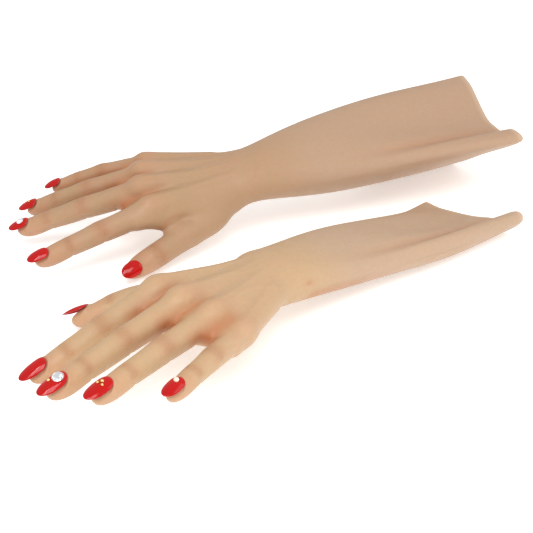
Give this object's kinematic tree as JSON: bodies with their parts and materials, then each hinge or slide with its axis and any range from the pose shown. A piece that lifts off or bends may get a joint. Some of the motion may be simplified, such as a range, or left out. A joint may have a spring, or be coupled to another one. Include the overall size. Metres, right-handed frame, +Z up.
{
  "type": "prosthetic hand",
  "caption": "Matched left and right hollow silicone cosmetic hands with forearm sleeves, long red nails and small nail ornaments; wrists, fingers and thumbs flex.",
  "frame": {"origin": "centre of the pair's box, on the surface that it lies on", "axes": "+X from the fingers towards the elbows, +Y from the left hand to the right hand, +Z up, out of the backs of the hands"},
  "size_m": [0.4511, 0.3003, 0.0748],
  "materials": {
    "left_skin": "satin",
    "right_skin": "satin",
    "nail": "high gloss",
    "rhinestone": "polished",
    "gold": "polished",
    "pearl": "gloss"
  },
  "bodies": {
    "left_forearm": {"left_forearm_sleeve": "left_skin"},
    "left_palm": {"left_palm": "left_skin"},
    "left_index_root": {"left_index_root": "left_skin"},
    "left_index_tip": {"left_index_tip": "left_skin", "left_index_nail": "nail"},
    "left_middle_root": {"left_middle_root": "left_skin"},
    "left_middle_tip": {"left_middle_tip": "left_skin", "left_middle_gold_bead": "gold", "left_middle_nail": "nail", "left_middle_rhinestone": "rhinestone"},
    "left_ring_root": {"left_ring_root": "left_skin"},
    "left_ring_tip": {"left_ring_tip": "left_skin", "left_ring_gold_bead_1": "gold", "left_ring_gold_bead_2": "gold", "left_ring_gold_bead_3": "gold", "left_ring_nail": "nail"},
    "left_little_root": {"left_little_root": "left_skin"},
    "left_little_tip": {"left_little_tip": "left_skin", "left_little_nail": "nail", "left_little_pearl_bead": "pearl"},
    "left_thumb_root": {"left_thumb_root": "left_skin"},
    "left_thumb_tip": {"left_thumb_tip": "left_skin", "left_thumb_nail": "nail"},
    "right_forearm": {"right_forearm_sleeve": "right_skin"},
    "right_palm": {"right_palm": "right_skin"},
    "right_index_root": {"right_index_root": "right_skin"},
    "right_index_tip": {"right_index_tip": "right_skin", "right_index_nail": "nail"},
    "right_middle_root": {"right_middle_root": "right_skin"},
    "right_middle_tip": {"right_middle_tip": "right_skin", "right_middle_nail": "nail", "right_middle_rhinestone": "rhinestone"},
    "right_ring_root": {"right_ring_root": "right_skin"},
    "right_ring_tip": {"right_ring_tip": "right_skin", "right_ring_gold_bead": "gold", "right_ring_nail": "nail"},
    "right_little_root": {"right_little_root": "right_skin"},
    "right_little_tip": {"right_little_tip": "right_skin", "right_little_nail": "nail"},
    "right_thumb_root": {"right_thumb_root": "right_skin"},
    "right_thumb_tip": {"right_thumb_tip": "right_skin", "right_thumb_nail": "nail"}
  },
  "joints": [
    {"name": "left_wrist_flex", "type": "hinge", "parent": "left_forearm", "child": "left_palm", "pos_m": [-0.0528, -0.0605, 0.0305], "axis": [0.1462, -0.9874, -0.0605], "range_deg": [-20, 20], "stiffness_Nm_per_rad": 1.5},
    {"name": "left_index_root_flex", "type": "hinge", "parent": "left_palm", "child": "left_index_root", "pos_m": [-0.15119, -0.06293, 0.04025], "axis": [0.0813, -0.9954, -0.0499], "range_deg": [-10, 35], "stiffness_Nm_per_rad": 0.2},
    {"name": "left_index_tip_flex", "type": "hinge", "parent": "left_index_root", "child": "left_index_tip", "pos_m": [-0.17036, -0.06422, 0.03472], "axis": [0.0813, -0.9954, -0.0499], "range_deg": [0, 45], "stiffness_Nm_per_rad": 0.15},
    {"name": "left_middle_root_flex", "type": "hinge", "parent": "left_palm", "child": "left_middle_root", "pos_m": [-0.14688, -0.08561, 0.04347], "axis": [0.2257, -0.9714, -0.0732], "range_deg": [-10, 35], "stiffness_Nm_per_rad": 0.2},
    {"name": "left_middle_tip_flex", "type": "hinge", "parent": "left_middle_root", "child": "left_middle_tip", "pos_m": [-0.17007, -0.09073, 0.04002], "axis": [0.2257, -0.9714, -0.0732], "range_deg": [0, 45], "stiffness_Nm_per_rad": 0.15},
    {"name": "left_ring_root_flex", "type": "hinge", "parent": "left_palm", "child": "left_ring_root", "pos_m": [-0.13652, -0.10381, 0.04117], "axis": [0.3052, -0.9484, -0.0858], "range_deg": [-10, 35], "stiffness_Nm_per_rad": 0.2},
    {"name": "left_ring_tip_flex", "type": "hinge", "parent": "left_ring_root", "child": "left_ring_tip", "pos_m": [-0.15652, -0.11017, 0.04027], "axis": [0.3052, -0.9484, -0.0858], "range_deg": [0, 45], "stiffness_Nm_per_rad": 0.15},
    {"name": "left_little_root_flex", "type": "hinge", "parent": "left_palm", "child": "left_little_root", "pos_m": [-0.12431, -0.12083, 0.03581], "axis": [0.4558, -0.8834, -0.1087], "range_deg": [-10, 35], "stiffness_Nm_per_rad": 0.2},
    {"name": "left_little_tip_flex", "type": "hinge", "parent": "left_little_root", "child": "left_little_tip", "pos_m": [-0.1358, -0.12686, 0.03658], "axis": [0.4558, -0.8834, -0.1087], "range_deg": [0, 45], "stiffness_Nm_per_rad": 0.15},
    {"name": "left_thumb_root_flex", "type": "hinge", "parent": "left_palm", "child": "left_thumb_root", "pos_m": [-0.11346, -0.02717, 0.01926], "axis": [-0.5045, -0.6633, 0.5527], "range_deg": [-10, 35], "stiffness_Nm_per_rad": 0.3},
    {"name": "left_thumb_tip_flex", "type": "hinge", "parent": "left_thumb_root", "child": "left_thumb_tip", "pos_m": [-0.14002, -0.01282, 0.01224], "axis": [-0.3971, -0.7118, 0.5794], "range_deg": [0, 45], "stiffness_Nm_per_rad": 0.2},
    {"name": "right_wrist_flex", "type": "hinge", "parent": "right_forearm", "child": "right_palm", "pos_m": [0.0062, 0.0595, 0.042], "axis": [-0.1089, -0.958, -0.2653], "range_deg": [-20, 20], "stiffness_Nm_per_rad": 1.5},
    {"name": "right_index_root_flex", "type": "hinge", "parent": "right_palm", "child": "right_index_root", "pos_m": [-0.0939, 0.05691, 0.03278], "axis": [0.0161, -0.9664, -0.2567], "range_deg": [-10, 35], "stiffness_Nm_per_rad": 0.2},
    {"name": "right_index_tip_flex", "type": "hinge", "parent": "right_index_root", "child": "right_index_tip", "pos_m": [-0.11359, 0.05751, 0.02931], "axis": [0.0161, -0.9664, -0.2567], "range_deg": [0, 45], "stiffness_Nm_per_rad": 0.15},
    {"name": "right_middle_root_flex", "type": "hinge", "parent": "right_palm", "child": "right_middle_root", "pos_m": [-0.08787, 0.08477, 0.03766], "axis": [-0.4223, -0.866, -0.2679], "range_deg": [-10, 35], "stiffness_Nm_per_rad": 0.2},
    {"name": "right_middle_tip_flex", "type": "hinge", "parent": "right_middle_root", "child": "right_middle_tip", "pos_m": [-0.10755, 0.09655, 0.03062], "axis": [-0.4223, -0.866, -0.2679], "range_deg": [0, 45], "stiffness_Nm_per_rad": 0.15},
    {"name": "right_ring_root_flex", "type": "hinge", "parent": "right_palm", "child": "right_ring_root", "pos_m": [-0.07784, 0.10258, 0.04128], "axis": [-0.4705, -0.8415, -0.2656], "range_deg": [-10, 35], "stiffness_Nm_per_rad": 0.2},
    {"name": "right_ring_tip_flex", "type": "hinge", "parent": "right_ring_root", "child": "right_ring_tip", "pos_m": [-0.09461, 0.11379, 0.03547], "axis": [-0.4705, -0.8415, -0.2656], "range_deg": [0, 45], "stiffness_Nm_per_rad": 0.15},
    {"name": "right_little_root_flex", "type": "hinge", "parent": "right_palm", "child": "right_little_root", "pos_m": [-0.06739, 0.11756, 0.04354], "axis": [-0.4674, -0.8432, -0.2657], "range_deg": [-10, 35], "stiffness_Nm_per_rad": 0.2},
    {"name": "right_little_tip_flex", "type": "hinge", "parent": "right_little_root", "child": "right_little_tip", "pos_m": [-0.07833, 0.12427, 0.04148], "axis": [-0.4674, -0.8432, -0.2657], "range_deg": [0, 45], "stiffness_Nm_per_rad": 0.15},
    {"name": "right_thumb_root_flex", "type": "hinge", "parent": "right_palm", "child": "right_thumb_root", "pos_m": [-0.05329, 0.04147, 0.01869], "axis": [0.2769, -0.6823, -0.6766], "range_deg": [-10, 35], "stiffness_Nm_per_rad": 0.3},
    {"name": "right_thumb_tip_flex", "type": "hinge", "parent": "right_thumb_root", "child": "right_thumb_tip", "pos_m": [-0.08305, 0.03637, 0.01166], "axis": [0.2477, -0.6868, -0.6834], "range_deg": [0, 45], "stiffness_Nm_per_rad": 0.2},
    {"name": "right_hand_lift", "type": "slide", "parent": "left_forearm", "child": "right_forearm", "axis": [0, 0, 1], "range_m": [0, 0.12]}
  ]
}
